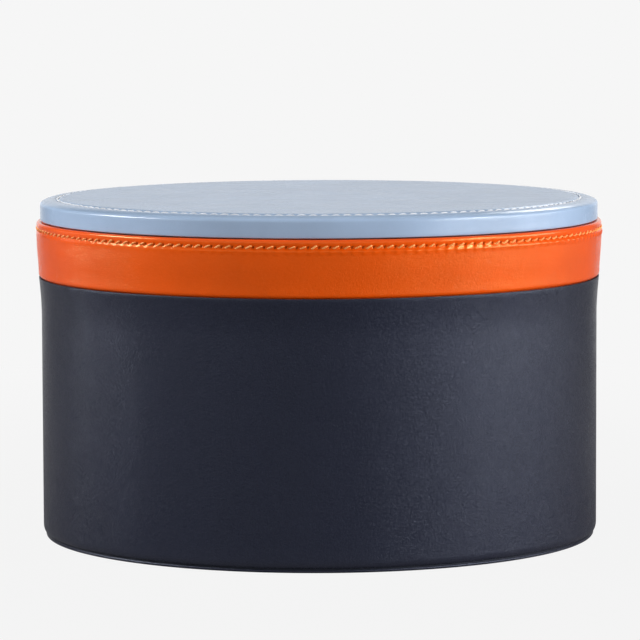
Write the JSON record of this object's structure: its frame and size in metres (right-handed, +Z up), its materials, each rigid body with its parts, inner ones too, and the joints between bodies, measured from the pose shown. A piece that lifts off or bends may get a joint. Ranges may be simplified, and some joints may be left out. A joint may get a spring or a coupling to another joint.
{
  "type": "leather storage pot",
  "caption": "Round lidded storage pot: a leather-covered drum with a flared, stitched leather collar round its mouth, a suede lining and a padded lift-off lid.",
  "frame": {"origin": "middle of the foot's underside, on the surface that the pot stands on", "axes": "+Z up along the pot's axis, -Y towards the viewer of the picture, +X to that viewer's right; the leather seams are at +Y"},
  "size_m": [0.2132, 0.2132, 0.1274],
  "materials": {
    "navy_leather": "semi-matt smooth hide with a fine grain",
    "orange_leather": "satin smooth hide with a fine grain",
    "blue_leather": "satin smooth hide, padded",
    "lining_suede": "matt napped suede",
    "board": "matt millboard",
    "wadding": "matt felted wadding",
    "white_thread": "waxed linen thread",
    "orange_thread": "waxed linen thread"
  },
  "bodies": {
    "pot": {"foot_leather": "navy_leather", "foot_board": "board", "drum_wall": "board", "drum_floor": "board", "body_leather": "navy_leather", "collar_leather": "orange_leather", "collar_stiffener": "board", "liner_suede": "lining_suede", "floor_card": "board", "floor_suede": "lining_suede"},
    "lid": {"lid_board": "board", "lid_padding": "wadding", "lid_leather": "blue_leather", "plug_board": "board", "plug_suede": "lining_suede"}
  },
  "joints": [
    {"name": "lid_lift", "type": "slide", "parent": "pot", "child": "lid", "axis": [0, 0, 1], "range_m": [0, 0.15]}
  ]
}
